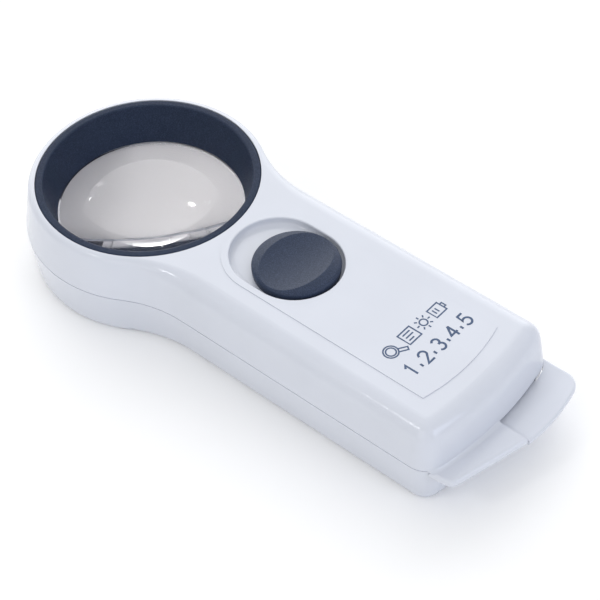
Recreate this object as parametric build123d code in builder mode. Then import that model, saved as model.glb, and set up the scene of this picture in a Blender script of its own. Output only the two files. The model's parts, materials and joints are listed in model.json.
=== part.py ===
from build123d import *
from math import atan, cos, hypot, pi, sin, sqrt, tan
import os

# Hand-held low vision magnifier: a round head with a deep-set lens in a dark hood, and a flat
# battery handle with a slide switch and two offset finger lips that open the battery door.
# Frame: +X from the head to the tail, +Z up, origin under the middle of the whole, on the floor.
# Distances along the handle are measured from the lens axis and placed by along().

os.makedirs("parts", exist_ok=True)

# ---------------------------------------------------------------- driving dimensions, mm
overall_length = 164.4
top = 27.0
parting = 13.8
wall = 1.8
top_plate = 2.0
fit = 0.05

# casing outline at the parting line, and where its walls end
head_radius = 34.9
head_crown = 33.1
head_foot = 33.4
head_edge = 1.9
handle_half = 25.6
handle_crown = 24.6
handle_foot = 23.5
tail = 120.1
tail_crown = 119.0
tail_foot = 117.9
handle_edge = 5.5
foot_edge = 2.0
neck_radius = 35.0
tail_radius = 100.0
corner_radius = 6.5
seam_depth = 0.3
seam_height = 0.2

# lens and what holds it
lens_radius = 27.5
lens_edge = 2.85
lens_upper_surface = 42.0
lens_lower_surface = 260.0
lens_seat = 12.7
clear_radius = 25.6
hood_foot_inner = 26.0
hood_rim = 31.0
hood_rim_inner = 28.8
hood_rim_round = 0.6
hood_flange = 0.8
hood_outer_top = 29.95
hood_outer_foot = 28.9
seat_ring_inner = 28.0
seat_ring_outer = 29.4
aperture = 27.0
ledge = 1.2
liner_inner = 26.5
liner_split = 23.1
liner_flutes = 80
liner_flute = 0.25
lamp_window_half = 6.0
lamp_window_low = 3.0
lamp_window_high = 10.0

# label panel raised on the top, and the switch recess in it
panel_step = 0.2
panel_half = 15.1
panel_front = 47.2
panel_side_end = 107.3
panel_arc_centre = 46.0
panel_arc_radius = 63.3
recess_front = 47.3
recess_rear = 53.2
recess_radius = 13.05
recess_floor = 25.0
recess_plate = 1.4
recess_rim_round = 0.4
recess_foot_round = 1.4
button_x = 53.6
button_radius = 11.95
button_travel = 6.0
button_low = 25.1
button_draft = 0.25
button_apex = 29.7
button_dome = 38.0
button_round = 1.2
dish_bottom = 27.35
dish_across = 26.0
dish_along = 113.0
dish_edge = 0.3
dish_reach = 5.0
dish_height = 4.0
stem_foot = 20.4
stem_length = 5.0
stem_width = 3.6
slot_width = 3.8
carrier_thickness = 1.3
carrier_length = 11.0
carrier_width = 18.0
switch_base_top = 18.9
switch_base_thickness = 1.3
post_x = 49.0
post_y = 11.2
post_radius = 1.6
strip_x = 45.0
strip_y = 5.5
strip_length = 11.0
strip_width = 3.0
leaf_length = 11.0
leaf_thickness = 0.3
contact_ball = 0.8

# finger lips at the tail: the left one on the casing, the right one on the door
lip_root = 112.0
lip_split = 0.4
lip_left_thickness = 2.3
lip_left_side = -24.3
lip_left_tip = 128.9
lip_left_corner = 123.0
lip_left_slant = 1.1
lip_left_corner_radius = 3.0
lip_left_edge = 0.8
lip_right_thickness = 1.7
lip_right_side = 24.9
lip_right_rim = 129.5
lip_right_crown = 6.0
lip_right_inner_bow = 0.4
lip_right_outer_bow = 2.5
lip_right_corner_radius = 5.0
lip_right_edge = 0.6
lip_drop = 1.2
lip_cove = 1.0

# battery door and its hinge
hinge_x = 54.0
hinge_z = 1.9
barrel_radius = 1.6
pin_radius = 0.8
pin_length = 43.0
door_inset = 0.4
door_lift = 0.3
door_wall = 1.6
door_half = 20.0
door_tail_half = 17.2
door_shoulder = 110.0
door_gap = 0.3
rib_places = (75.0, 100.0)
rib_thickness = 1.2
rib_half = 16.0
tongue_x = 116.6
tongue_half = 6.0
tongue_top = 15.3
tongue_root = 2.6
tongue_thickness = 1.0
tongue_root_thickness = 2.0
bearing_side = 5.0

# cells and their cradle
cell_radius = 7.25
cell_pitch = 15.0
cell_z = 12.0
cell_start = 60.5
cell_body = 49.2
cell_nub = 1.3
cell_nub_radius = 2.7
cradle_front = 58.0
cradle_rear = 113.5
cradle_wall = 1.2
cradle_top = 20.5
cradle_plate = 1.0
cradle_half = 20.5
cradle_tail_half = 18.5
cradle_low = 4.2
saddle_places = (70.0, 102.0)
saddle_thickness = 1.4
saddle_rise = 2.0
cradle_screw_x = 88.0
contact = 0.4
contact_height = 9.0
contact_end = 18.2
dome_radius = 2.3
dome_taper = 20
dome_reach = 2.45
spring_wire = 0.5
spring_base = 3.6
spring_tip = 2.2
spring_turns = 2.5
spring_corners = 8
tab_width = 2.4
tab_top = 21.6
lead_radius = 0.5

# screws
screw_x = 38.0
screw_y = 19.0
boss_radius = 3.2
upper_boss_radius = 2.6
cradle_boss_radius = 2.4
case_screw_head = 2.1
case_screw_shank = 1.0
case_screw_sink = 4.0
cradle_screw_head = 1.8
cradle_screw_shank = 0.8
switch_screw_head = 1.3
switch_screw_shank = 0.6
case_screw_length = 17.0
cradle_screw_length = 4.2
switch_screw_length = 3.8

# lamp board behind the window in the ring wall
board_x = 32.6
board_thickness = 1.2
board_half = 8.0
board_low = 3.2
board_top = 12.6
lamp_z = 6.5
rail_length = 3.6
rail_width = 2.4
led_side = 5.0
led_dome_radius = 1.7
driver_width = 3.6
driver_height = 3.0

head_x = head_radius - overall_length / 2


def along(distance):
    """X in the part's frame of a distance measured from the lens axis towards the tail."""
    return head_x + distance


def sag(sphere, reach):
    """Depth of a spherical surface at a distance from its axis."""
    return sphere - sqrt(sphere**2 - reach**2)


# ---------------------------------------------------------------- the casing's outer form
def arc_between(centre, start, end):
    """Short arc about centre from start to end, drawn through the point between them."""
    middle = ((start[0] + end[0]) / 2 - centre[0], (start[1] + end[1]) / 2 - centre[1])
    stretch = hypot(start[0] - centre[0], start[1] - centre[1]) / hypot(*middle)
    through = (centre[0] + middle[0] * stretch, centre[1] + middle[1] * stretch)
    ThreePointArc(start, through, end)


def outline(level, head, half, rear, corner, neck):
    """Plan outline at one level: head circle, hollow necks, straight sides, rounded tail."""
    neck_x = sqrt((head + neck) ** 2 - (half + neck) ** 2)
    share = head / (head + neck)
    touch = (neck_x * share, (half + neck) * share)
    arc_x = rear - tail_radius
    corner_y = half - corner
    corner_x = arc_x + sqrt((tail_radius - corner) ** 2 - corner_y**2)
    reach = tail_radius / (tail_radius - corner)
    tip = (arc_x + (corner_x - arc_x) * reach, corner_y * reach)
    with BuildSketch(Plane.XY.offset(level)) as section:
        with BuildLine():
            start = (along(touch[0]), touch[1])
            ThreePointArc(start, (head_x - head, 0), (start[0], -start[1]))
            for side in (1, -1):
                joint = (start[0], side * start[1])
                side_start = (along(neck_x), side * half)
                side_end = (along(corner_x), side * half)
                tail_start = (along(tip[0]), side * tip[1])
                arc_between((along(neck_x), side * (half + neck)), joint, side_start)
                Line(side_start, side_end)
                arc_between((along(corner_x), side * corner_y), side_end, tail_start)
            ThreePointArc((along(tip[0]), tip[1]), (along(rear), 0), (along(tip[0]), -tip[1]))
        make_face()
    return section.sketch


def crowned(level, base, crown, edge):
    """Size at a level above the parting line: drafted wall, then a round tangent to it."""
    start = top - edge
    slope = (base - crown) / (start - parting)
    lean = atan(slope)
    if level <= start + edge * sin(lean):
        return base - slope * (level - parting)
    return crown - edge / cos(lean) + sqrt(max(edge**2 - (level - start) ** 2, 0))


def drafted(level, base, foot):
    """Size at a level below the parting line: a plain drafted wall."""
    return base - (base - foot) * (parting - level) / parting


def section_at(level, grow=0.0):
    """Outline of the whole casing at a level, moved outwards by grow."""
    if level > parting:
        head = crowned(level, head_radius, head_crown, head_edge)
        half = crowned(level, handle_half, handle_crown, handle_edge)
        rear = crowned(level, tail, tail_crown, handle_edge)
    else:
        head = drafted(level, head_radius, head_foot)
        half = drafted(level, handle_half, handle_foot)
        rear = drafted(level, tail, tail_foot)
    lost = handle_half - half
    corner = max(corner_radius - lost + grow, 0.8)
    return outline(level, head + grow, half + grow, rear + grow, corner, neck_radius + lost - grow)


# levels up the wall and through the rounded top edge, evenly spaced along the surface
round_steps = 14
plain_steps = 15
round_lean = atan((handle_half - handle_crown) / (top - handle_edge - parting))
round_angles = [
    round_lean + (pi / 2 - round_lean) * i / round_steps for i in range(round_steps + 1)
]
round_levels = [top - handle_edge + handle_edge * sin(angle) for angle in round_angles]
plain_height = round_levels[0] - parting
plain_levels = [parting + plain_height * i / plain_steps for i in range(plain_steps)]


def walls(low, high, grow=0.0):
    """Solid between two levels of the plain drafted wall."""
    with BuildPart() as prism:
        loft([section_at(low, grow), section_at(high, grow)], ruled=True)
    return prism


with BuildPart() as upper_form:
    loft([section_at(z) for z in plain_levels + round_levels])

with BuildPart() as upper_cavity:
    cavity_levels = [z for z in round_levels[::2] if z < top - top_plate - 0.5]
    loft(
        [section_at(z, -wall) for z in [parting] + cavity_levels + [top - top_plate]],
        ruled=True,
    )

with BuildPart() as lower_form:
    add(walls(0, parting).part)
    fillet(lower_form.edges().group_by(Axis.Z)[0], foot_edge)

lower_cavity = walls(wall, parting, -wall)

# the battery door is cut from a slightly smaller copy of the lower form
door_top = parting - lip_drop
door_skin = door_inset + door_wall

with BuildPart() as door_form:
    add(walls(door_lift, door_top, -door_inset).part)
    fillet(door_form.edges().group_by(Axis.Z)[0], foot_edge - door_inset)

door_cavity = walls(door_lift + door_wall, parting, -door_skin)

# shadow gap round the foot of the upper casing
with BuildPart() as seam_groove:
    add(section_at(parting, 1.0))
    extrude(amount=seam_height)
    add(section_at(parting, -seam_depth))
    extrude(amount=seam_height, mode=Mode.SUBTRACT)

# the space just outside the lower casing, which the lips keep clear of
lip_clearance = walls(foot_edge, parting, door_gap)


def cove_at(height):
    """Casing outline at a height over the lip, spread by the hollow that runs into the lip."""
    return section_at(parting + height, sag(lip_cove, lip_cove - height) - fit)


cove_steps = 9

with BuildPart() as cove_form:
    loft([cove_at(lip_cove * (1 - cos(pi / 2 * i / cove_steps))) for i in range(cove_steps + 1)])


# ---------------------------------------------------------------- finger lips
def left_lip_plan(level):
    """Lip of the casing: a slanting outer edge from the near corner to the middle."""
    with BuildSketch(Plane.XY.offset(level)) as plan:
        with BuildLine():
            Polyline(
                (along(lip_left_tip), -lip_split / 2),
                (along(lip_root), -lip_split / 2),
                (along(lip_root), lip_left_side),
                (along(lip_left_corner), lip_left_side + lip_left_slant),
                close=True,
            )
        make_face()
        near_corner = plan.vertices().sort_by(Axis.Y)[:2].sort_by(Axis.X)[-1]
        fillet(near_corner, lip_left_corner_radius)
    return plan.sketch


def right_lip_plan(level):
    """Lip of the door: a bowed outer edge from the middle to the far corner."""
    crown = (along(lip_right_rim), lip_right_crown)
    inner_end = (along(lip_right_rim - lip_right_inner_bow), lip_split)
    outer_end = (along(lip_right_rim - lip_right_outer_bow), lip_right_side)
    with BuildSketch(Plane.XY.offset(level)) as plan:
        with BuildLine():
            ThreePointArc(inner_end, crown, outer_end)
            Polyline(
                outer_end,
                (along(lip_root), lip_right_side),
                (along(lip_root), lip_split),
                inner_end,
            )
        make_face()
        far_corner = plan.vertices().sort_by(Axis.Y)[-2:].sort_by(Axis.X)[-1]
        fillet(far_corner, lip_right_corner_radius)
    return plan.sketch


def free_edges(edges, split):
    """Level edges of a lip that a finger meets: all but its root and its split side."""
    level_edges = edges.filter_by(lambda e: e.bounding_box().size.Z < 0.01)
    clear_of_root = level_edges.filter_by(lambda e: e.center().X > along(lip_root) + 1)
    return clear_of_root.filter_by(lambda e: abs(e.center().Y - split) > 0.1)


with BuildPart() as left_lip:
    add(left_lip_plan(parting - lip_left_thickness))
    extrude(amount=lip_left_thickness)
    fillet(free_edges(left_lip.edges(), -lip_split / 2), lip_left_edge)
    add(lip_clearance.part, mode=Mode.SUBTRACT)

with BuildPart() as left_lip_cove:
    add(left_lip_plan(parting))
    extrude(amount=lip_cove)
    add(cove_form.part, mode=Mode.INTERSECT)
    add(upper_cavity.part, mode=Mode.SUBTRACT)

# where the door's lip overhangs the casing corner it stays outside the corner's wall
with BuildPart() as corner_clearance:
    with BuildSketch():
        with Locations((along(tail), door_tail_half)):
            Rectangle(30, 20, align=(Align.CENTER, Align.MIN))
    extrude(amount=top)
    add(lip_clearance.part, mode=Mode.INTERSECT)

with BuildPart() as right_lip:
    add(right_lip_plan(door_top - lip_right_thickness))
    extrude(amount=lip_right_thickness)
    fillet(free_edges(right_lip.edges(), lip_split), lip_right_edge)
    add(corner_clearance.part, mode=Mode.SUBTRACT)
    add(door_cavity.part, mode=Mode.SUBTRACT)


# ---------------------------------------------------------------- plans shared by the casings
recess_middle = along((recess_front + recess_rear) / 2)
recess_span = recess_rear - recess_front
stem_slot_middle = along(button_x - button_travel / 2)
post_places = [(along(post_x), side * post_y) for side in (1, -1)]
screw_places = [(along(screw_x), side * screw_y) for side in (1, -1)]
cradle_screw_places = [(along(cradle_screw_x), side * cell_pitch / 2) for side in (1, -1)]
lens_place = [(head_x, 0)]


def panel_plan(level):
    """Label panel: round about the switch, straight sides, bowed tail end."""
    front = along(panel_front)
    side_end = along(panel_side_end)
    bow = along(panel_arc_centre + panel_arc_radius)
    with BuildSketch(Plane.XY.offset(level)) as plan:
        with BuildLine():
            ThreePointArc((front, panel_half), (front - panel_half, 0), (front, -panel_half))
            Line((front, -panel_half), (side_end, -panel_half))
            ThreePointArc((side_end, -panel_half), (bow, 0), (side_end, panel_half))
            Line((side_end, panel_half), (front, panel_half))
        make_face()
    return plan.sketch


def door_plan(level, gap=0.0):
    """The battery door seen from below: wide over the cells, narrower through the tail."""
    start = along(hinge_x)
    shoulder = along(door_shoulder) + gap
    with BuildSketch(Plane.XY.offset(level)) as plan:
        with Locations((start, 0)):
            Rectangle(shoulder - start, 2 * (door_half + gap), align=(Align.MIN, Align.CENTER))
            Rectangle(90, 2 * (door_tail_half + gap), align=(Align.MIN, Align.CENTER))
    return plan.sketch


# ---------------------------------------------------------------- upper casing
ceiling = top - top_plate
recess_ceiling = recess_floor - recess_plate
hood_bore = hood_outer_top + 0.2
panel_top = top + panel_step

with BuildPart() as recess_space:
    with BuildSketch(Plane.XY.offset(recess_floor)):
        with Locations((recess_middle, 0)):
            SlotCenterToCenter(recess_span, 2 * recess_radius)
    extrude(amount=panel_top - recess_floor)
    fillet(recess_space.edges().group_by(Axis.Z)[0], recess_foot_round)


def is_recess_rim(edge):
    """Whether an edge of the upper casing is the upper rim of the switch recess."""
    extent = edge.bounding_box()
    level = abs(extent.max.Z - panel_top) < 0.01 and extent.size.Z < 0.01
    within = max(extent.max.Y, -extent.min.Y) < recess_radius + 0.1
    ahead = extent.min.X > along(recess_front - recess_radius) - 0.1
    return level and within and ahead and extent.max.X < along(recess_rear + recess_radius) + 0.1


with BuildPart() as upper_casing:
    add(upper_form.part)
    add(upper_cavity.part, mode=Mode.SUBTRACT)
    add(seam_groove.part, mode=Mode.SUBTRACT)
    # ring that carries the hood, and the sunk floor of the switch recess
    with BuildSketch(Plane.XY.offset(ceiling + 0.1)):
        with Locations(*lens_place):
            Circle(head_radius - wall - 0.9)
            Circle(hood_bore, mode=Mode.SUBTRACT)
    extrude(amount=-4)
    with BuildSketch(Plane.XY.offset(recess_ceiling)):
        with Locations((recess_middle, 0)):
            SlotCenterToCenter(recess_span, 2 * (recess_radius + 1.6))
    extrude(amount=ceiling + 0.1 - recess_ceiling)
    # bosses for the case screws, the cradle screws and the switch base
    with BuildSketch(Plane.XY.offset(parting)):
        with Locations(*screw_places):
            Circle(upper_boss_radius)
    extrude(amount=ceiling + 0.1 - parting)
    with BuildSketch(Plane.XY.offset(cradle_top)):
        with Locations(*cradle_screw_places):
            Circle(cradle_boss_radius)
    extrude(amount=ceiling + 0.1 - cradle_top)
    with BuildSketch(Plane.XY.offset(switch_base_top)):
        with Locations(*post_places):
            Circle(post_radius)
    extrude(amount=recess_ceiling + 0.1 - switch_base_top)
    # their pilot holes
    with BuildSketch(Plane.XY.offset(parting)):
        with Locations(*screw_places):
            Circle(case_screw_shank)
        with Locations(*cradle_screw_places):
            Circle(cradle_screw_shank)
    extrude(amount=ceiling - 1.0 - parting, mode=Mode.SUBTRACT)
    with BuildSketch(Plane.XY.offset(switch_base_top)):
        with Locations(*post_places):
            Circle(switch_screw_shank)
    extrude(amount=3.0, mode=Mode.SUBTRACT)
    # bore of the hood and the seat of its rim
    with BuildSketch(Plane.XY.offset(parting)):
        with Locations(*lens_place):
            Circle(hood_bore)
    extrude(amount=top - parting, mode=Mode.SUBTRACT)
    with BuildSketch(Plane.XY.offset(top - hood_flange)):
        with Locations(*lens_place):
            Circle(hood_rim + fit)
    extrude(amount=hood_flange, mode=Mode.SUBTRACT)
    # label panel, switch recess and the slot for the switch stem
    add(panel_plan(top - 0.1))
    extrude(amount=panel_step + 0.1)
    add(recess_space.part, mode=Mode.SUBTRACT)
    rim = upper_casing.edges().filter_by(is_recess_rim)
    fillet(rim, recess_rim_round)
    with BuildSketch(Plane.XY.offset(recess_ceiling)):
        with Locations((stem_slot_middle, 0)):
            Rectangle(stem_length + button_travel + 0.4, slot_width)
    extrude(amount=recess_plate, mode=Mode.SUBTRACT)
    # finger lip with the hollow that blends it into the tail
    add(left_lip.part)
    add(left_lip_cove.part)

# ---------------------------------------------------------------- lower casing
with BuildPart() as lower_casing:
    add(lower_form.part)
    add(lower_cavity.part, mode=Mode.SUBTRACT)
    # ring wall under the lens, with a ledge at the aperture for the liners
    with BuildSketch():
        with Locations(*lens_place):
            Circle(seat_ring_outer)
    extrude(amount=lens_seat + lens_edge)
    with BuildSketch(Plane.XY.offset(ledge)):
        with Locations(*lens_place):
            Circle(seat_ring_inner)
    extrude(amount=top, mode=Mode.SUBTRACT)
    with BuildSketch():
        with Locations(*lens_place):
            Circle(aperture)
    extrude(amount=ledge, mode=Mode.SUBTRACT)
    with BuildSketch(Plane.XY.offset(lamp_window_low - 0.5)):
        with Locations((along(seat_ring_outer), 0)):
            Rectangle(8, 2 * lamp_window_half + 1)
    extrude(amount=lamp_window_high - lamp_window_low + 1, mode=Mode.SUBTRACT)
    # screw bosses and the rails that hold the lamp board
    with BuildSketch(Plane.XY.offset(wall - 0.1)):
        with Locations(*screw_places):
            Circle(boss_radius)
    extrude(amount=parting - wall + 0.1)
    with BuildSketch(Plane.XY.offset(wall - 0.1)):
        with Locations(*[(along(board_x), side * board_half) for side in (1, -1)]):
            Rectangle(rail_length, rail_width)
    extrude(amount=board_top - wall - 1)
    with BuildSketch(Plane.XY.offset(board_low)):
        with Locations((along(board_x), 0)):
            Rectangle(board_thickness + 2 * fit, 2 * (board_half + fit))
    extrude(amount=board_top, mode=Mode.SUBTRACT)
    # bearings of the hinge pin
    with BuildSketch(Plane.XY.offset(wall - 0.1)):
        with Locations(*[(along(hinge_x), side * door_half) for side in (1, -1)]):
            Rectangle(bearing_side, bearing_side)
    extrude(amount=hinge_z + pin_radius + 1.2 - wall)
    # opening for the battery door
    add(door_plan(0, door_gap))
    extrude(amount=top, mode=Mode.SUBTRACT)
    with BuildSketch():
        with Locations((along(hinge_x), 0)):
            Rectangle(2 * (barrel_radius + door_gap), 2 * (door_half + door_gap))
    extrude(amount=top, mode=Mode.SUBTRACT)
    with BuildSketch(Plane.XZ):
        with Locations((along(hinge_x), hinge_z)):
            Circle(pin_radius)
    extrude(amount=pin_length / 2, both=True, mode=Mode.SUBTRACT)
    # case screw holes with sunk heads
    with BuildSketch():
        with Locations(*screw_places):
            Circle(case_screw_head + 0.15)
    extrude(amount=case_screw_sink, mode=Mode.SUBTRACT)
    with BuildSketch():
        with Locations(*screw_places):
            Circle(case_screw_shank + 0.2)
    extrude(amount=top, mode=Mode.SUBTRACT)

# ---------------------------------------------------------------- hood and lens
lens_axis = Axis((head_x, 0, 0), (0, 0, 1))
lens_plane = Plane(origin=(head_x, 0, 0), x_dir=(1, 0, 0), z_dir=(0, -1, 0))
lens_top = lens_seat + lens_edge
hood_foot = lens_top + fit

with BuildPart() as lens_hood:
    with BuildSketch(lens_plane):
        with BuildLine():
            Polyline(
                (hood_rim, top - hood_flange),
                (hood_rim, top),
                (hood_rim_inner, top),
                (hood_foot_inner, hood_foot),
                (hood_outer_foot, hood_foot),
                (hood_outer_top, top - hood_flange),
                close=True,
            )
        make_face()
    revolve(axis=lens_axis)
    fillet(lens_hood.edges().group_by(Axis.Z)[-1], hood_rim_round)

with BuildPart() as lens:
    with BuildSketch(lens_plane):
        crest = (0, lens_top + sag(lens_upper_surface, clear_radius))
        trough = (0, lens_seat - sag(lens_lower_surface, clear_radius))
        with BuildLine():
            Line(trough, crest)
            RadiusArc(crest, (clear_radius, lens_top), lens_upper_surface)
            Polyline(
                (clear_radius, lens_top),
                (lens_radius, lens_top),
                (lens_radius, lens_seat),
                (clear_radius, lens_seat),
            )
            RadiusArc((clear_radius, lens_seat), trough, lens_lower_surface)
        make_face()
    revolve(axis=lens_axis)

# ---------------------------------------------------------------- liners under the lens
liner_outer = seat_ring_inner - 0.1


def liner_ring(inner=liner_inner):
    """Plan of the lining ring inside the ring wall."""
    with BuildSketch(Plane.XY.offset(ledge)) as ring:
        with Locations(*lens_place):
            Circle(liner_outer)
            Circle(inner, mode=Mode.SUBTRACT)
    return ring.sketch


with BuildPart() as front_baffle:
    with BuildSketch(Plane.XY.offset(ledge)):
        add(liner_ring())
        with Locations((head_x - liner_split, 0)):
            Rectangle(60, 60, align=(Align.MIN, Align.CENTER), mode=Mode.SUBTRACT)
    extrude(amount=lens_seat - ledge)

with BuildPart() as lamp_reflector:
    with BuildSketch(Plane.XY.offset(ledge)):
        add(liner_ring())
        with Locations((head_x - liner_split + fit, 0)):
            Rectangle(60, 60, align=(Align.MAX, Align.CENTER), mode=Mode.SUBTRACT)
        with Locations(*lens_place):
            with PolarLocations(liner_inner, liner_flutes):
                Rectangle(2 * liner_flute, liner_flute, mode=Mode.SUBTRACT)
    extrude(amount=lens_seat - ledge)
    with BuildSketch(Plane.XY.offset(lamp_window_low)):
        with Locations((along(seat_ring_inner), 0)):
            Rectangle(12, 2 * lamp_window_half)
    extrude(amount=lamp_window_high - lamp_window_low, mode=Mode.SUBTRACT)

with BuildPart() as lamp_window:
    with BuildSketch(Plane.XY.offset(lamp_window_low + fit)):
        add(liner_ring(liner_inner + 0.4))
        with Locations((along(seat_ring_inner), 0)):
            Rectangle(12, 2 * (lamp_window_half - fit), mode=Mode.INTERSECT)
    extrude(amount=lamp_window_high - lamp_window_low - 2 * fit)

# ---------------------------------------------------------------- lamp and its board
board_face = along(board_x) - board_thickness / 2
board_back = board_face + board_thickness

with BuildPart() as lamp_board:
    with BuildSketch(Plane.XY.offset(board_low)):
        with Locations((along(board_x), 0)):
            Rectangle(board_thickness, 2 * board_half)
    extrude(amount=board_top - board_low)

with BuildPart() as lamp_led:
    with Locations((board_face, 0, lamp_z)):
        Box(1.0, led_side, led_side, align=(Align.MAX, Align.CENTER, Align.CENTER))
    with BuildSketch(Plane(origin=(board_face - 1.0, 0, lamp_z), z_dir=(-1, 0, 0))):
        Circle(led_dome_radius)
    extrude(amount=1.5)
    fillet(lamp_led.edges().sort_by(Axis.X)[0], 1.2)

with BuildPart() as lamp_driver:
    with Locations((board_back, 0, lamp_z)):
        Box(1.0, driver_width, driver_height, align=(Align.MIN, Align.CENTER, Align.CENTER))
    fillet(lamp_driver.edges().filter_by(Axis.Z), 0.2)

# ---------------------------------------------------------------- slide switch
button_plane = Plane(origin=(along(button_x), 0, 0), x_dir=(1, 0, 0), z_dir=(0, -1, 0))
button_axis = Axis((along(button_x), 0, 0), (0, 0, 1))
carrier_low = recess_ceiling - 0.1 - carrier_thickness

dish_axis = Axis((along(button_x), 0, dish_bottom + dish_along), (1, 0, 0))

with BuildSketch(button_plane) as dish_profile:
    side = sqrt(dish_across**2 - (dish_across - dish_height) ** 2)
    level = dish_bottom + dish_height
    with BuildLine():
        ThreePointArc((-side, level), (0, dish_bottom), (side, level))
        Line((side, level), (-side, level))
    make_face()

with BuildPart() as thumb_dish:
    for sweep_angle in (10, -10):
        revolve(dish_profile.sketch, axis=dish_axis, revolution_arc=sweep_angle)

with BuildPart() as slide_button:
    shoulder = (button_radius, button_apex - sag(button_dome, button_radius))
    with BuildSketch(button_plane):
        with BuildLine():
            Polyline(
                (0, button_apex),
                (0, button_low),
                (button_radius - button_draft, button_low),
                shoulder,
            )
            RadiusArc(shoulder, (0, button_apex), -button_dome)
        make_face()
    revolve(axis=button_axis)
    rounds = slide_button.edges().filter_by(lambda e: e.is_closed)
    fillet(rounds.sort_by(Axis.Z)[-1], button_round)
    # thumb dish, deeper across the handle's middle than along its width
    add(thumb_dish.part, mode=Mode.SUBTRACT)
    dish_rim = slide_button.edges().filter_by(lambda e: e.bounding_box().min.Z > dish_bottom + 0.3)
    fillet(dish_rim.filter_by(lambda e: e.bounding_box().size.Y > 2 * dish_reach), dish_edge)
    with Locations((along(button_x), 0, stem_foot)):
        Box(
            stem_length,
            stem_width,
            button_low + 0.5 - stem_foot,
            align=(Align.CENTER, Align.CENTER, Align.MIN),
        )

with BuildPart() as switch_carrier:
    with BuildSketch(Plane.XY.offset(carrier_low)):
        with Locations((along(button_x), 0)):
            Rectangle(carrier_length, carrier_width)
            Rectangle(stem_length + 0.04, stem_width + 0.04, mode=Mode.SUBTRACT)
    extrude(amount=carrier_thickness)
    fillet(switch_carrier.edges().filter_by(Axis.Z).group_by(SortBy.DISTANCE)[-1], 0.8)

with BuildPart() as moving_contact:
    with BuildSketch(Plane.XY.offset(carrier_low - 0.3)):
        with Locations((along(button_x), 0)):
            Rectangle(6.4, 13)
            Rectangle(stem_length + 0.04, stem_width + 0.04, mode=Mode.SUBTRACT)
    extrude(amount=0.3)
    ball_z = switch_base_top + fit + contact_ball
    for side in (1, -1):
        with Locations((along(button_x), side * strip_y, ball_z)):
            Cylinder(
                contact_ball,
                carrier_low - 0.1 - ball_z,
                align=(Align.CENTER, Align.CENTER, Align.MIN),
            )
            Sphere(contact_ball)

with BuildPart() as switch_base:
    with BuildSketch(Plane.XY.offset(switch_base_top - switch_base_thickness)):
        with Locations((along(post_x), 0)):
            Rectangle(15, 17)
            Rectangle(4.4, 2 * (post_y + post_radius))
        with Locations(*post_places):
            Circle(switch_screw_shank + 0.1, mode=Mode.SUBTRACT)
    extrude(amount=switch_base_thickness)
    with BuildSketch(Plane.XY.offset(switch_base_top - contact)):
        with Locations(*[(along(strip_x), side * strip_y) for side in (1, -1)]):
            Rectangle(strip_length + 0.04, strip_width + 0.04)
    extrude(amount=contact, mode=Mode.SUBTRACT)


def contact_strip(side):
    """Fixed contact in its groove, with a solder tab ahead of the switch base."""
    with BuildPart() as strip:
        with BuildSketch(Plane.XY.offset(switch_base_top - contact)):
            with Locations((along(strip_x), side * strip_y)):
                Rectangle(strip_length, strip_width)
        extrude(amount=contact)
    return strip


fixed_contact_left = contact_strip(-1)
fixed_contact_right = contact_strip(1)

with BuildPart() as detent_spring:
    leaf_y = post_y - post_radius
    with BuildSketch(Plane.XY.offset(carrier_low + 0.1)):
        with Locations((along(post_x + 1), leaf_y - leaf_thickness / 2)):
            Rectangle(leaf_length, leaf_thickness)
        with Locations((along(post_x + 5), leaf_y - 0.25)):
            Circle(leaf_thickness)
    extrude(amount=1.0)


def screw(places, seat, head, head_height, shank, length):
    """Pan head screws driven upwards: the heads under seat, the shanks above it."""
    with BuildPart() as screws:
        for x, y in places:
            with BuildSketch(Plane.XY.offset(seat)):
                with Locations((x, y)):
                    Circle(head)
            extrude(amount=-head_height)
            with BuildSketch(Plane.XY.offset(seat)):
                with Locations((x, y)):
                    Circle(shank)
            extrude(amount=length)
            with BuildSketch(Plane.XY.offset(seat - head_height)):
                with Locations((x, y)):
                    Rectangle(1.3 * head, 0.3 * head)
                    Rectangle(0.3 * head, 1.3 * head)
            extrude(amount=head_height / 2, mode=Mode.SUBTRACT)
    return screws


switch_screws = screw(
    post_places, switch_base_top - switch_base_thickness, switch_screw_head, 0.9,
    switch_screw_shank, switch_screw_length,
)
case_screws = screw(
    screw_places, case_screw_sink, case_screw_head, 1.8, case_screw_shank, case_screw_length,
)
cradle_screws = screw(
    cradle_screw_places, cradle_top - cradle_plate, cradle_screw_head, 1.3,
    cradle_screw_shank, cradle_screw_length,
)

# ---------------------------------------------------------------- battery door and hinge
with BuildPart() as battery_door:
    add(door_plan(door_lift))
    extrude(amount=door_top - door_lift)
    add(door_form.part, mode=Mode.INTERSECT)
    add(door_cavity.part, mode=Mode.SUBTRACT)
    # hinge barrel along the front edge
    with BuildSketch(Plane.XZ):
        with Locations((along(hinge_x), hinge_z)):
            Circle(barrel_radius)
    extrude(amount=door_half, both=True)
    # ribs under the cells and the tongue that hooks behind the casing
    with BuildSketch(Plane.XY.offset(door_lift + 0.5)):
        with Locations(*[(along(x), 0) for x in rib_places]):
            Rectangle(rib_thickness, 2 * rib_half)
    extrude(amount=cell_z - cell_radius - 0.3 - door_lift - 0.5)
    with BuildSketch(Plane.XY.offset(door_top - tongue_root)):
        with Locations((along(tongue_x), 0)):
            Rectangle(tongue_thickness, 2 * tongue_half, align=(Align.MIN, Align.CENTER))
    extrude(amount=tongue_top - door_top + tongue_root)
    with BuildSketch(Plane.XY.offset(door_top - tongue_root)):
        with Locations((along(tongue_x), 0)):
            Rectangle(tongue_root_thickness, 2 * tongue_half, align=(Align.MIN, Align.CENTER))
    extrude(amount=tongue_root)
    add(right_lip.part)
    with BuildSketch(Plane.XZ):
        with Locations((along(hinge_x), hinge_z)):
            Circle(pin_radius + fit)
    extrude(amount=door_half + 1, both=True, mode=Mode.SUBTRACT)

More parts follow.
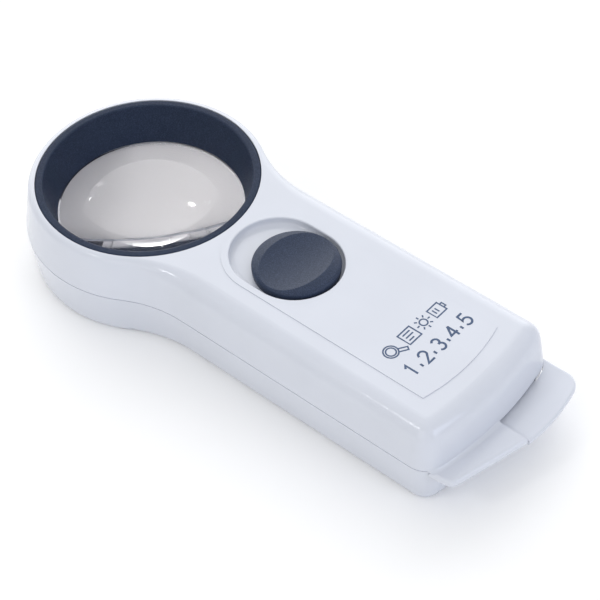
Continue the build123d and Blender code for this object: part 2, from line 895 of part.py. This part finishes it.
with BuildPart() as hinge_pin:
    with BuildSketch(Plane.XZ):
        with Locations((along(hinge_x), hinge_z)):
            Circle(pin_radius)
    extrude(amount=pin_length / 2 - fit, both=True)

# ---------------------------------------------------------------- cells
cell_length = cell_body + cell_nub
cell_rows = [-cell_pitch, 0, cell_pitch]
cell_nub_ahead = [True, False, True]


def cell(row, nub_ahead):
    """Round dry cell along X, its positive nub towards the head or the tail."""
    way = -1 if nub_ahead else 1
    base = along(cell_start if way > 0 else cell_start + cell_length)
    plane = Plane(origin=(base, row, cell_z), x_dir=(way, 0, 0), z_dir=(0, -way, 0))
    with BuildPart() as body:
        with BuildSketch(plane):
            with BuildLine():
                Polyline(
                    (0, 0),
                    (0, cell_radius - 0.5),
                    (0.4, cell_radius),
                    (cell_body - 0.5, cell_radius),
                    (cell_body, cell_radius - 0.6),
                    (cell_body, cell_nub_radius),
                    (cell_length, cell_nub_radius - 0.2),
                    (cell_length, 0),
                    close=True,
                )
            make_face()
        revolve(axis=Axis((base, row, cell_z), (1, 0, 0)))
    return body


batteries = [cell(row, ahead) for row, ahead in zip(cell_rows, cell_nub_ahead)]

# ---------------------------------------------------------------- cradle round the cells
with BuildPart() as battery_cradle:
    start = along(cradle_front - cradle_wall)
    length = cradle_rear - cradle_front + 2 * cradle_wall
    with BuildSketch(Plane.XY.offset(cradle_top)):
        with Locations((start, 0)):
            Rectangle(length, 2 * cradle_half, align=(Align.MIN, Align.CENTER))
    extrude(amount=-cradle_plate)
    for face, half in ((cradle_front - cradle_wall, cradle_half), (cradle_rear, cradle_tail_half)):
        with BuildSketch(Plane.XY.offset(cradle_low)):
            with Locations((along(face), 0)):
                Rectangle(cradle_wall, 2 * half, align=(Align.MIN, Align.CENTER))
        extrude(amount=cradle_top - cradle_low)
    # saddles that sit over the cells
    with BuildSketch(Plane.XY.offset(cell_z + saddle_rise)):
        with Locations(*[(along(x), 0) for x in saddle_places]):
            Rectangle(saddle_thickness, 2 * cradle_half)
    extrude(amount=cradle_top - cradle_plate - cell_z - saddle_rise)
    with BuildSketch(Plane.YZ.offset(along(cell_start))):
        with Locations(*[(row, cell_z) for row in cell_rows]):
            Circle(cell_radius + 0.1)
    extrude(amount=cell_length, mode=Mode.SUBTRACT)
    # screw holes and the slots for the two terminal tabs
    with BuildSketch(Plane.XY.offset(cradle_top)):
        with Locations(*cradle_screw_places):
            Circle(cradle_screw_shank + 0.2)
        with Locations((along(cradle_front), -cell_pitch), (along(cradle_rear), cell_pitch)):
            Rectangle(1.4, tab_width + 0.6)
    extrude(amount=-cradle_plate, mode=Mode.SUBTRACT)


# ---------------------------------------------------------------- battery contacts
def contact_plate(face, towards, rows, domes, tab_row=None):
    """Pressed contact plate on a cradle wall: domes for nubs, an optional solder tab."""
    low = max(min(rows) - contact_height / 2, -contact_end)
    high = min(max(rows) + contact_height / 2, contact_end)
    plane = Plane(origin=(along(face), 0, 0), x_dir=(0, 1, 0), z_dir=(1, 0, 0))
    with BuildPart() as plate:
        with BuildSketch(plane):
            with Locations(((low + high) / 2, cell_z)):
                Rectangle(high - low, contact_height)
            if tab_row is not None:
                with Locations((tab_row, cell_z)):
                    Rectangle(tab_width, tab_top - cell_z, align=(Align.CENTER, Align.MIN))
        extrude(amount=towards * contact)
        for row in domes:
            with BuildSketch(plane.offset(towards * contact)):
                with Locations((row, cell_z)):
                    Circle(dome_radius)
            extrude(amount=towards * (dome_reach - contact), taper=dome_taper)
    return plate


def contact_spring(face, towards, row):
    """Conical coil on a contact plate, pressing on a cell's flat end."""
    start = face + towards * (contact + spring_wire / 2)
    rise = towards * (dome_reach - contact - spring_wire)
    last = int(spring_turns * spring_corners)
    points = []
    for i in range(last + 1):
        radius = spring_base + (spring_tip - spring_base) * i / last
        angle = 2 * pi * i / spring_corners
        place = (row + radius * cos(angle), cell_z + radius * sin(angle))
        points.append((along(start + rise * i / last), *place))
    spread = 0.45 * 2 * sin(pi / spring_corners) / tan(pi / spring_corners)
    bends = [
        spread * (spring_base + (spring_tip - spring_base) * (i + 0.5) / last)
        for i in range(1, last)
    ]
    with BuildPart() as spring:
        with BuildLine() as coil:
            FilletPolyline(*points, radius=bends)
        with BuildSketch(Plane(origin=coil.line @ 0, z_dir=coil.line % 0)):
            Circle(spring_wire / 2)
        sweep()
    return spring


positive_terminal = contact_plate(cradle_front, 1, [-cell_pitch], [-cell_pitch], -cell_pitch)
bridge_front = contact_plate(cradle_front, 1, [0, cell_pitch], [cell_pitch])
bridge_rear = contact_plate(cradle_rear, -1, [-cell_pitch, 0], [0])
negative_terminal = contact_plate(cradle_rear, -1, [cell_pitch], [], cell_pitch)

springs = [
    contact_spring(cradle_rear, -1, -cell_pitch),
    contact_spring(cradle_front, 1, 0),
    contact_spring(cradle_rear, -1, cell_pitch),
]


# ---------------------------------------------------------------- leads inside the handle
def lead(points, bends):
    """Insulated wire along a bent route between two solder joints."""
    route = [(along(x), y, z) for x, y, z in points]
    with BuildPart() as wire:
        with BuildLine() as path:
            FilletPolyline(*route, radius=bends)
        with BuildSketch(Plane(origin=path.line @ 0, z_dir=path.line % 0)):
            Circle(lead_radius)
        sweep()
    return wire


lead_z = cradle_top + 0.7
strip_lead_z = switch_base_top + lead_radius + 0.02
board_lead_x = board_x + board_thickness / 2 + lead_radius + 0.05

lead_battery = lead(
    [
        (cradle_front - 0.1, -cell_pitch, lead_z),
        (44.0, -cell_pitch, lead_z),
        (strip_x - 5, -11.0, strip_lead_z),
        (strip_x - 5, -strip_y, strip_lead_z),
    ],
    2.0,
)
lead_lamp = lead(
    [
        (strip_x - 4.6, strip_y, strip_lead_z),
        (36.5, strip_y, strip_lead_z),
        (board_lead_x, 1.0, 15.0),
        (board_lead_x, 1.0, board_top - 1.6),
    ],
    1.5,
)
lead_return = lead(
    [
        (cradle_rear - contact - 0.1, cell_pitch, lead_z),
        (43.0, cell_pitch, lead_z),
        (36.5, 11.0, 17.0),
        (board_lead_x, 5.6, 14.5),
        (board_lead_x, 5.6, board_top - 1.6),
    ],
    1.5,
)

# ---------------------------------------------------------------- write every piece
pieces = {
    "upper_casing": upper_casing,
    "lower_casing": lower_casing,
    "lens_hood": lens_hood,
    "lens": lens,
    "front_baffle": front_baffle,
    "lamp_reflector": lamp_reflector,
    "lamp_window": lamp_window,
    "lamp_board": lamp_board,
    "lamp_led": lamp_led,
    "lamp_driver": lamp_driver,
    "slide_button": slide_button,
    "switch_carrier": switch_carrier,
    "moving_contact": moving_contact,
    "switch_base": switch_base,
    "fixed_contact_left": fixed_contact_left,
    "fixed_contact_right": fixed_contact_right,
    "detent_spring": detent_spring,
    "switch_screws": switch_screws,
    "case_screws": case_screws,
    "battery_door": battery_door,
    "hinge_pin": hinge_pin,
    "battery_cradle": battery_cradle,
    "cradle_screws": cradle_screws,
    "positive_terminal": positive_terminal,
    "negative_terminal": negative_terminal,
    "bridge_contact_front": bridge_front,
    "bridge_contact_rear": bridge_rear,
    "lead_battery": lead_battery,
    "lead_lamp": lead_lamp,
    "lead_return": lead_return,
}
for number, battery in enumerate(batteries, 1):
    pieces[f"battery_{number}"] = battery
for number, spring in enumerate(springs, 1):
    pieces[f"battery_spring_{number}"] = spring

for name, piece in pieces.items():
    piece.part.label = name
    export_step(piece.part, f"parts/{name}.step")
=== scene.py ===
"""Looks of a hand-held low vision magnifier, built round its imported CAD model.

Everything is in metres in the model's own frame: +X from the lens head to the tail, +Z up.
"""

import json
from math import cos, pi, radians, sin

import bpy
from mathutils import Matrix, Vector


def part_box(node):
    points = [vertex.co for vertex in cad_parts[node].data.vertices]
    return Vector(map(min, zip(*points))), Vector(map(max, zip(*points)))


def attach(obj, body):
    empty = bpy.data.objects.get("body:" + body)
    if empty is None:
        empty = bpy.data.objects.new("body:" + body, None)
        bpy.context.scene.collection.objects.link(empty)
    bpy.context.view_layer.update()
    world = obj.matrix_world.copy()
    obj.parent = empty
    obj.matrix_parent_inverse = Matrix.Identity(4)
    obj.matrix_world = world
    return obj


MM = 0.001

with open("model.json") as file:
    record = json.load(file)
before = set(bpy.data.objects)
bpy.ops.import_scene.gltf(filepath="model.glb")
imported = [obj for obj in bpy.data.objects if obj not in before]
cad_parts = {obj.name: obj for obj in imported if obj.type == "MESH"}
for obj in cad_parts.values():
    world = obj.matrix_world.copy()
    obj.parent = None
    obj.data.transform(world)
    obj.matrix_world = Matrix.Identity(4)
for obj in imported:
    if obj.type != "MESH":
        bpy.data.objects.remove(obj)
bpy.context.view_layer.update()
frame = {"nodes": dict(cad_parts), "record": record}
nodes = frame["nodes"]
scene = bpy.context.scene
scene.view_settings.view_transform = "Standard"

lens_low, lens_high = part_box("lens")
lens_axis = (lens_low + lens_high) / 2


# ---------------------------------------------------------------- camera and lights
def direction(azimuth, elevation):
    """Unit vector from the object towards a viewer; azimuth 0 is at -Y and 90 at +X."""
    a, e = radians(azimuth), radians(elevation)
    return Vector((sin(a) * cos(e), -cos(a) * cos(e), sin(e)))


def look_from(target, azimuth, elevation, roll, distance, focal_length):
    """Camera that looks at target from an azimuth and an elevation, turned by roll."""
    back = direction(azimuth, elevation)
    level = Vector((cos(radians(azimuth)), sin(radians(azimuth)), 0))
    upright = back.cross(level)
    right = level * cos(radians(roll)) + upright * sin(radians(roll))
    up = back.cross(right)
    camera = bpy.data.objects.new("camera", bpy.data.cameras.new("camera"))
    camera.data.lens = focal_length
    camera.data.sensor_width = 36.0
    camera.data.clip_start = 0.01
    turn = Matrix((right, up, back)).transposed().to_4x4()
    camera.matrix_world = Matrix.Translation(Vector(target) + back * distance) @ turn
    scene.collection.objects.link(camera)
    scene.camera = camera


def softbox(name, target, azimuth, elevation, distance, size, brightness, tint=(1, 1, 1)):
    """Round area light of a given size and surface brightness that shines on target."""
    back = direction(azimuth, elevation)
    light = bpy.data.lights.new(name, "AREA")
    light.shape = "DISK"
    light.size = size
    light.energy = brightness * pi * pi * (size / 2) ** 2
    light.color = tint
    lamp = bpy.data.objects.new(name, light)
    lamp.location = Vector(target) + back * distance
    lamp.rotation_euler = back.to_track_quat("Z", "Y").to_euler()
    lamp.visible_camera = False
    scene.collection.objects.link(lamp)
    return lamp


def make_glint(name, spot, azimuth, elevation, size, brightness):
    """Lamp that lights the lens alone and shows as a glint at one spot of it."""
    lamp = softbox(name, spot, azimuth, elevation, 1.0, size, brightness)
    lamp.light_linking.receiver_collection = only_lens


look_from(
    target=(0.0153, -0.0091, 0.027),
    azimuth=42.56,
    elevation=47.02,
    roll=-2.57,
    distance=0.5014,
    focal_length=117.5,
)
only_lens = bpy.data.collections.new("only_lens")
only_lens.objects.link(nodes["lens"])
middle = (0, 0, 0.02)
tail_spot = (lens_axis.x + 13.4 * MM, 2.8 * MM, lens_high.z - 2.3 * MM)
front_spot = (lens_axis.x - 10.9 * MM, -12.5 * MM, lens_high.z - 3.4 * MM)
softbox("front_fill", middle, azimuth=15, elevation=25, distance=1.0, size=0.8, brightness=0.8)
softbox(
    "tail_fill",
    middle,
    azimuth=95,
    elevation=24,
    distance=1.1,
    size=0.6,
    brightness=2.1,
    tint=(0.86, 0.94, 1.16),
)
softbox("lamp_left", middle, azimuth=-98, elevation=30, distance=1.0, size=0.03, brightness=25)
make_glint("glint_back", tail_spot, azimuth=-178, elevation=53.2, size=0.08, brightness=90)
make_glint("glint_left", front_spot, azimuth=-95.5, elevation=27.2, size=0.05, brightness=35)
softbox("lamp_front", middle, azimuth=-22, elevation=46, distance=1.0, size=0.12, brightness=20)


def studio_walls(plain, glows):
    """World of even light with broad soft glows: (azimuth, elevation, edge, strength) each.

    A glow is strongest in its own direction and fades out where the cosine of the angle
    from it is down to edge.
    """
    world = bpy.data.worlds.new("studio")
    world.use_nodes = True
    tree = world.node_tree
    place = tree.nodes.new("ShaderNodeTexCoord")
    total = None
    for azimuth, elevation, edge, strength in glows:
        toward = tree.nodes.new("ShaderNodeVectorMath")
        toward.operation = "DOT_PRODUCT"
        toward.inputs[1].default_value = direction(azimuth, elevation)
        tree.links.new(place.outputs["Generated"], toward.inputs[0])
        lobe = tree.nodes.new("ShaderNodeMapRange")
        lobe.interpolation_type = "SMOOTHERSTEP"
        lobe.inputs["From Min"].default_value = edge
        lobe.inputs["To Max"].default_value = strength
        tree.links.new(toward.outputs["Value"], lobe.inputs["Value"])
        adding = tree.nodes.new("ShaderNodeMath")
        adding.inputs[0].default_value = plain
        if total:
            tree.links.new(total, adding.inputs[0])
        tree.links.new(lobe.outputs[0], adding.inputs[1])
        total = adding.outputs[0]
    tree.links.new(total, tree.nodes["Background"].inputs["Strength"])
    tree.nodes["Background"].inputs["Color"].default_value = (1, 1, 1, 1)
    scene.world = world


overhead_glow = (0, 90, 0.2, 0.24)
far_glow = (-132, 10, 0.5, 1.9)
studio_walls(0.62, [overhead_glow, far_glow])


# ---------------------------------------------------------------- materials
ACRYLIC_INDEX = 1.49


def dimmed(color, share):
    """Colour with only a share of its light."""
    return tuple(share * c for c in color)


class Surface:
    """A node material round one principled shader, with short calls for its textures."""

    def __init__(self, name, color, roughness, **settings):
        self.material = bpy.data.materials.new(name)
        self.material.use_nodes = True
        self.tree = self.material.node_tree
        self.shader = self.tree.nodes["Principled BSDF"]
        self.place = self.tree.nodes.new("ShaderNodeTexCoord").outputs["Object"]
        self.relief = None
        self.set(**{"Base Color": (*color, 1), "Roughness": roughness})
        self.set(**settings)

    def set(self, **settings):
        """Sets inputs of the shader to values, or links node outputs to them."""
        for name, value in settings.items():
            self.feed(self.shader.inputs[name.replace("_", " ")], value)

    def feed(self, socket, value):
        """Links a node output to a socket, or gives the socket a value."""
        if isinstance(value, bpy.types.NodeSocket):
            self.tree.links.new(value, socket)
        elif isinstance(value, tuple) and len(value) == 3 and socket.type == "RGBA":
            socket.default_value = (*value, 1)
        else:
            socket.default_value = value

    def add(self, kind, out=0, **inputs):
        """New node of a kind, its inputs by name or number, and one of its outputs."""
        node = self.tree.nodes.new(kind)
        for key, value in inputs.items():
            if hasattr(node, key):
                setattr(node, key, value)
            else:
                name = key.replace("_", " ")
                self.feed(node.inputs[int(name[3:]) if name.startswith("in ") else name], value)
        return node.outputs[out]

    def stretched(self, x, y, z):
        """Object coordinates, scaled by axis."""
        return self.add("ShaderNodeMapping", Vector=self.place, Scale=(x, y, z))

    def noise(self, size, detail=2.0, place=None):
        """Noise whose features are about size metres across."""
        where = place or self.place
        return self.add("ShaderNodeTexNoise", Vector=where, Scale=1 / size, Detail=detail)

    def cells(self, size):
        """Distance from the middle of the nearest of many scattered cells."""
        return self.add("ShaderNodeTexVoronoi", Vector=self.place, Scale=1 / size)

    def between(self, value, low, high, start=0.0, end=1.0):
        """Value carried from the range low..high to start..end."""
        return self.add(
            "ShaderNodeMapRange",
            Value=value,
            From_Min=low,
            From_Max=high,
            To_Min=start,
            To_Max=end,
        )

    def blend(self, share, first, second):
        """Colour between two colours."""
        return self.add(
            "ShaderNodeMix", out=2, data_type="RGBA", Factor=share, in_6=first, in_7=second
        )

    def mixed(self, share, first, second):
        """Shader between two shaders."""
        return self.add("ShaderNodeMixShader", in_0=share, in_1=first, in_2=second)

    def bump(self, height, depth):
        """Adds relief, depth metres deep, to the relief so far."""
        below = {"Normal": self.relief} if self.relief else {}
        self.relief = self.add("ShaderNodeBump", Height=height, Distance=depth, Strength=1, **below)
        self.set(Normal=self.relief)


def gloss_plastic(name, color, roughness=0.13):
    """Polished moulding: faint flow marks, orange peel, fine scratches, a few dust specks."""
    s = Surface(name, color, roughness)
    cloud = s.noise(25 * MM, 3.0)
    tone = s.blend(s.between(cloud, 0.35, 0.65), dimmed(color, 0.965), color)
    speck = s.between(s.cells(17 * MM), 0.010, 0.016)
    s.set(Base_Color=s.blend(speck, dimmed(color, 0.5), tone))
    scratch = s.noise(0.5 * MM, 4.0, s.stretched(0.04, 1.0, 1.0))
    s.set(Roughness=s.between(scratch, 0.4, 0.75, roughness, roughness + 0.08))
    s.bump(s.noise(9 * MM, 1.0), 0.02 * MM)
    s.bump(s.noise(0.9 * MM, 1.0), 0.0012 * MM)
    return s.material


def grained_plastic(name, color, roughness, depth=0.012 * MM, sheen=0.5):
    """Spark-eroded moulding: fine even grain, with its crests painted lighter as a sheen where
    light catches them.
    """
    s = Surface(name, color, roughness, Specular_IOR_Level=sheen)
    grit = s.noise(0.28 * MM, 3.0)
    crest = s.between(grit, 0.42, 0.72)
    # painted sheen: the crests of the grain get a lighter colour, as where light catches them
    crest_sheen = tuple(min(1.7 * c + 0.004, 0.95) for c in color)
    cloud = s.between(s.noise(6 * MM, 2.0), 0.3, 0.7, 0.0, 0.5)
    s.set(Base_Color=s.blend(crest, s.blend(cloud, color, dimmed(color, 0.88)), crest_sheen))
    s.set(Roughness=s.between(grit, 0.3, 0.7, roughness + 0.08, roughness - 0.08))
    s.bump(grit, depth)
    return s.material


def ground_edge(s, skin, edge):
    """Frosted white where the surface stands steep, as on the ground rim of a lens."""
    upright = s.add("ShaderNodeNewGeometry", out="True Normal")
    rise = s.add("ShaderNodeSeparateXYZ", out="Z", Vector=upright)
    steep = s.add("ShaderNodeMath", operation="ABSOLUTE", in_0=rise)
    frost = s.add("ShaderNodeBsdfDiffuse", Color=(0.9, 0.91, 0.94))
    return s.mixed(s.between(steep, 0.3, 0.5, edge, 0), skin, frost)


def clear_plastic(name, tint, clarity=0.9, roughness=0.0, bloom=1.0, edge=0.0):
    """Moulded optical plastic that lets light through, so that it casts only a faint shadow.

    A bloomed skin leaves only a share of the weak reflections, and edge is how frosted the
    steep rim is.
    """
    s = Surface(name, tint, roughness, IOR=ACRYLIC_INDEX, Transmission_Weight=1.0)
    s.bump(s.noise(14 * MM, 1.0), 0.0006 * MM)
    bare = s.add(
        "ShaderNodeBsdfRefraction",
        Color=tint,
        Roughness=roughness,
        IOR=ACRYLIC_INDEX,
        Normal=s.relief,
    )
    mirror = s.add("ShaderNodeFresnel", IOR=ACRYLIC_INDEX)
    skin = s.mixed(s.between(mirror, 0.3, 0.6, bloom, 1), bare, s.shader.outputs[0])
    see_through = s.add("ShaderNodeBsdfTransparent", Color=dimmed(tint, clarity))
    shadow = s.add("ShaderNodeLightPath", out="Is Shadow Ray")
    whole = s.mixed(shadow, ground_edge(s, skin, edge), see_through)
    s.tree.links.new(whole, s.tree.nodes["Material Output"].inputs["Surface"])
    return s.material


def metal(name, color, roughness, brushed=(1.0, 1.0, 1.0)):
    """Rolled or plated metal with drawn lines and dulled patches."""
    s = Surface(name, color, roughness, Metallic=1.0)
    lines = s.noise(0.15 * MM, 3.0, s.stretched(*brushed))
    patch = s.noise(2.5 * MM, 3.0)
    s.set(Base_Color=s.blend(s.between(patch, 0.4, 0.7), color, dimmed(color, 0.8)))
    s.set(Roughness=s.between(lines, 0.3, 0.7, roughness - 0.06, roughness + 0.12))
    s.bump(lines, 0.002 * MM)
    return s.material


def painted(name, color, roughness=0.35):
    """Smooth skin with a light mottle, such as a sleeve, a board, a lead or dry ink."""
    s = Surface(name, color, roughness)
    mottle = s.noise(0.8 * MM, 3.0)
    s.set(Base_Color=s.blend(s.between(mottle, 0.45, 0.65), color, dimmed(color, 0.8)))
    s.set(Roughness=s.between(mottle, 0.3, 0.7, roughness, roughness + 0.12))
    s.bump(mottle, 0.004 * MM)
    return s.material


CASING_WHITE = (0.615, 0.642, 0.71)
SLATE = (0.018, 0.029, 0.059)
NAVY = (0.03, 0.07, 0.16)

finishes = {
    "casing_white": gloss_plastic("casing_white", CASING_WHITE),
    "door_white": gloss_plastic("door_white", CASING_WHITE),
    "hood_dark": grained_plastic("hood_dark", (0.019, 0.028, 0.053), 0.42, sheen=0.1),
    "baffle_dark": grained_plastic("baffle_dark", (0.06, 0.062, 0.08), 0.5),
    "button_dark": grained_plastic("button_dark", SLATE, 0.5, depth=0.02 * MM, sheen=0.3),
    "lens_clear": clear_plastic("lens_clear", (0.992, 0.985, 0.99), 0.98, bloom=0.35, edge=1.0),
    "window_clear": clear_plastic("window_clear", (0.95, 0.96, 0.97), roughness=0.25),
    "reflector_white": grained_plastic("reflector_white", (0.9, 0.91, 0.94), 0.4, depth=0.004 * MM),
    "inner_white": grained_plastic("inner_white", (0.68, 0.68, 0.66), 0.4),
    "inner_brown": grained_plastic("inner_brown", (0.20, 0.10, 0.05), 0.5),
    "inner_black": grained_plastic("inner_black", (0.03, 0.03, 0.035), 0.45),
    "board_green": painted("board_green", (0.015, 0.13, 0.06), 0.25),
    "led_white": painted("led_white", (0.85, 0.80, 0.45), 0.15),
    "chip_black": painted("chip_black", (0.02, 0.02, 0.022), 0.45),
    "lead_red": painted("lead_red", (0.45, 0.02, 0.02)),
    "lead_yellow": painted("lead_yellow", (0.60, 0.42, 0.03)),
    "lead_black": painted("lead_black", (0.015, 0.015, 0.016)),
    "cell_sleeve": painted("cell_sleeve", (0.10, 0.11, 0.13), 0.22),
    "spring_brass": metal("spring_brass", (0.72, 0.52, 0.24), 0.28, (0.05, 1, 1)),
    "spring_steel": metal("spring_steel", (0.6, 0.6, 0.61), 0.25, (0.05, 1, 1)),
    "screw_steel": metal("screw_steel", (0.62, 0.62, 0.64), 0.3),
    "contact_nickel": metal("contact_nickel", (0.68, 0.66, 0.62), 0.18),
}

for part in frame["record"]["subparts"]:
    node = nodes[part["node"]]
    node.data.materials.clear()
    node.data.materials.append(finishes[part["material_slot"]])


# ---------------------------------------------------------------- print on the label panel
# points and stroke widths of the print are in millimetres
INK_THICKNESS = 0.012 * MM
INK_STEP = 0.003 * MM
SIGN_STROKE = 0.42
NUMBER_STROKE = 0.62


def arc(x, y, radius, start, end, steps):
    """Points of an arc, its angles in degrees."""
    angles = [radians(start + (end - start) * i / steps) for i in range(steps + 1)]
    return [(x + radius * cos(a), y + radius * sin(a)) for a in angles]


def ink_strokes(name, lines, width, place):
    """Flat ribbons of ink along lines of points, written along +Y with their tops at -X.

    Each stroke lies at the next of four levels, so that strokes that cross don't share a face.
    """
    vertices, faces = [], []
    for number, points in enumerate(lines):
        level = place.z + INK_THICKNESS + INK_STEP * (number % 4)
        points = [Vector(p) for p in points]
        closed = (points[0] - points[-1]).length < 1e-6
        first = len(vertices)
        for i, point in enumerate(points):
            before = points[i - 1] if i else (points[-2] if closed else point)
            after = points[i + 1] if i + 1 < len(points) else (points[1] if closed else point)
            way_in = (point - before).normalized()
            way_out = (after - point).normalized()
            way = (way_in + way_out).normalized()
            side = Vector((-way.y, way.x))
            mitre = 1
            if i + 1 < len(points):
                mitre = max(side.dot(Vector((-way_out.y, way_out.x))), 0.5)
            for sign in (1, -1):
                edge = point + side * (sign * width / 2 / mitre)
                vertices.append((place.x - edge.y * MM, place.y + edge.x * MM, level))
        for i in range(len(points) - 1):
            a = first + 2 * i
            faces.append((a, a + 1, a + 3, a + 2))
    mesh = bpy.data.meshes.new(name)
    mesh.from_pydata(vertices, [], faces)
    mesh.materials.append(ink)
    drawing = bpy.data.objects.new(name, mesh)
    scene.collection.objects.link(drawing)
    solid = drawing.modifiers.new("thickness", "SOLIDIFY")
    solid.thickness = INK_THICKNESS
    solid.offset = 0
    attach(drawing, "casing")


DIGITS = {
    "1": [[(0.2, 2.1), (0.75, 2.6), (0.75, 0)]],
    "2": [arc(0.8, 1.85, 0.75, 170, -20, 14) + [(0.1, 0), (1.6, 0)]],
    "3": [arc(0.75, 1.95, 0.65, 150, -90, 14), arc(0.75, 0.68, 0.72, 90, -150, 14)],
    "4": [[(1.15, 0), (1.15, 2.6)], [(1.15, 2.6), (0.0, 0.8), (1.6, 0.8)]],
    "5": [[(1.45, 2.6), (0.35, 2.6), (0.2, 1.35)] + arc(0.75, 0.8, 0.8, 120, -150, 14)],
}
ink = painted("print_navy", NAVY, 0.3)
panel_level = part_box("upper_casing")[1].z


def shifted(lines, along, grow=1.0):
    """Lines made larger about their origin and moved along the row."""
    return [[(along + grow * x, grow * y) for x, y in line] for line in lines]


def make_signs():
    """Outlined signs of a lens, a page, a lamp and a cell."""
    lens_sign = [
        arc(2.4, 2.4, 2.0, 0, 360, 40),
        arc(2.4, 2.4, 1.35, 0, 360, 32),
        [(3.75, 0.85), (5.9, -0.5), (6.5, 0.35), (4.35, 1.75)],
    ]
    page_sign = [
        [(0, 0.2), (4.6, 0.2), (4.6, 4.4), (0, 4.4), (0, 0.2)],
        [(0.9, 3.4), (3.7, 3.4)],
        [(0.9, 2.3), (3.7, 2.3)],
        [(0.9, 1.2), (2.8, 1.2)],
    ]
    lamp_x, lamp_y = 2.4, 2.3
    lamp_sign = [arc(lamp_x, lamp_y, 1.1, 0, 360, 32)]
    for i in range(8):
        turn = radians(45 * i)
        ray = [(lamp_x + r * cos(turn), lamp_y + r * sin(turn)) for r in (1.65, 2.45)]
        lamp_sign.append(ray)
    cell_sign = [
        [(0, 0.6), (4.0, 0.6), (4.0, 4.0), (0, 4.0), (0, 0.6)],
        [(4.0, 1.6), (4.8, 1.6), (4.8, 3.0), (4.0, 3.0)],
        [(1.1, 1.5), (1.1, 3.1)],
        [(2.1, 1.5), (2.1, 3.1)],
    ]
    signs = []
    for start, sign in ((0, lens_sign), (7.4, page_sign), (13.0, lamp_sign), (18.8, cell_sign)):
        signs += shifted(sign, start)
    return signs


def make_scale():
    """Numbers 1 to 5 with a short tick after each but the last."""
    pitch, grow, tick = 5.4, 1.55, 3.9
    scale = []
    for i, digit in enumerate("12345"):
        start = pitch * i
        scale += shifted(DIGITS[digit], start, grow)
        if digit != "5":
            scale.append([(start + tick, 0.4), (start + tick, 1.5)])
    return scale


row_start = -10.8 * MM
signs_foot = lens_axis.x + 94.3 * MM
scale_foot = lens_axis.x + 101.5 * MM
signs_place = Vector((signs_foot, row_start, panel_level))
scale_place = Vector((scale_foot, row_start, panel_level))
ink_strokes("print_signs", make_signs(), SIGN_STROKE, signs_place)
ink_strokes("print_numbers", make_scale(), NUMBER_STROKE, scale_place)


# ---------------------------------------------------------------- floor
def make_floor():
    """Plain pale floor just under the object, so that the two don't share a face."""
    reach, level = 3.0, -0.05 * MM
    mesh = bpy.data.meshes.new("floor")
    corners = [(x * reach, y * reach, level) for x, y in ((-1, -1), (1, -1), (1, 1), (-1, 1))]
    mesh.from_pydata(corners, [], [(0, 1, 2, 3)])
    floor = bpy.data.objects.new("floor", mesh)
    s = Surface("floor_paper", (0.96, 0.96, 0.96), 0.9)
    s.bump(s.noise(1.5 * MM, 2.0), 0.01 * MM)
    mesh.materials.append(s.material)
    scene.collection.objects.link(floor)


make_floor()
